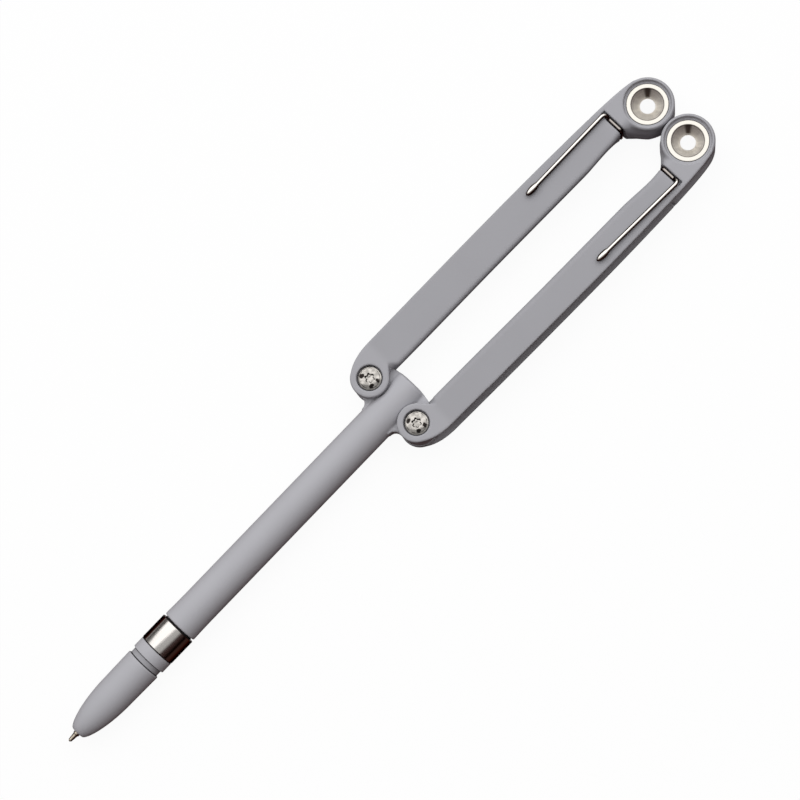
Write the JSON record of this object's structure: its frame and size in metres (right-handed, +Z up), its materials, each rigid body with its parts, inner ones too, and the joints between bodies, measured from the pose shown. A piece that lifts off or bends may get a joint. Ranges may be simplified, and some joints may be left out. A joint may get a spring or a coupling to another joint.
{
  "type": "balisong pen",
  "caption": "Twist-action ballpoint pen whose channelled handles swing round on its tang to enclose it, with countersunk ring ends and bent-wire clips.",
  "frame": {"origin": "under the middle of the open pen's outline, on the plane of the handles' flat backs", "axes": "+X from the writing tip to the ring ends, +Y towards the left handle, +Z up out of the face that carries the clips"},
  "size_m": [0.2538, 0.035, 0.0137],
  "materials": {
    "grey_nylon": "satin",
    "nickel_band": "polished",
    "turned_steel": "turned",
    "wire_steel": "polished",
    "screw_steel": "polished",
    "refill_steel": "satin",
    "tip_brass": "satin",
    "sleeve_brass": "satin",
    "washer_bronze": "satin",
    "dark_plastic": "satin"
  },
  "bodies": {
    "pen_body": {"pen_barrel": "grey_nylon", "ferrule_band": "nickel_band"},
    "nose": {"nose_cone": "grey_nylon", "nose_collar": "grey_nylon", "twist_sleeve": "sleeve_brass", "return_spring": "wire_steel"},
    "refill": {"refill_tube": "refill_steel", "refill_plug": "dark_plastic", "refill_tip": "tip_brass", "writing_ball": "refill_steel", "cam_follower": "dark_plastic"},
    "left_handle": {"handle_left": "grey_nylon", "ring_insert_left": "turned_steel", "wire_clip_left": "wire_steel", "pivot_screw_left": "screw_steel", "pivot_nut_left": "screw_steel", "washer_front_left": "washer_bronze", "washer_rear_left": "washer_bronze"},
    "right_handle": {"handle_right": "grey_nylon", "ring_insert_right": "turned_steel", "wire_clip_right": "wire_steel", "pivot_screw_right": "screw_steel", "pivot_nut_right": "screw_steel", "washer_front_right": "washer_bronze", "washer_rear_right": "washer_bronze"}
  },
  "joints": [
    {"name": "nose_twist", "type": "hinge", "parent": "pen_body", "child": "nose", "pos_m": [-0.0992, 0.00061, 0.0058], "axis": [1, 0, 0], "range_deg": [0, 180]},
    {"name": "refill_slide", "type": "slide", "parent": "pen_body", "child": "refill", "axis": [1, 0, 0], "range_m": [0, 0.0045], "deforming": ["return_spring"]},
    {"name": "left_handle_swing", "type": "hinge", "parent": "pen_body", "child": "left_handle", "pos_m": [0.00698, 0.01, 0.0058], "axis": [0, 0, 1], "range_deg": [0, 179.9]},
    {"name": "right_handle_swing", "type": "hinge", "parent": "pen_body", "child": "right_handle", "pos_m": [0.00698, -0.00878, 0.0058], "axis": [0, 0, -1], "range_deg": [0, 178.6]}
  ],
  "couplings": [
    {"joint": "refill_slide", "follows": "nose_twist", "m_per_rad": 0.0014324}
  ]
}
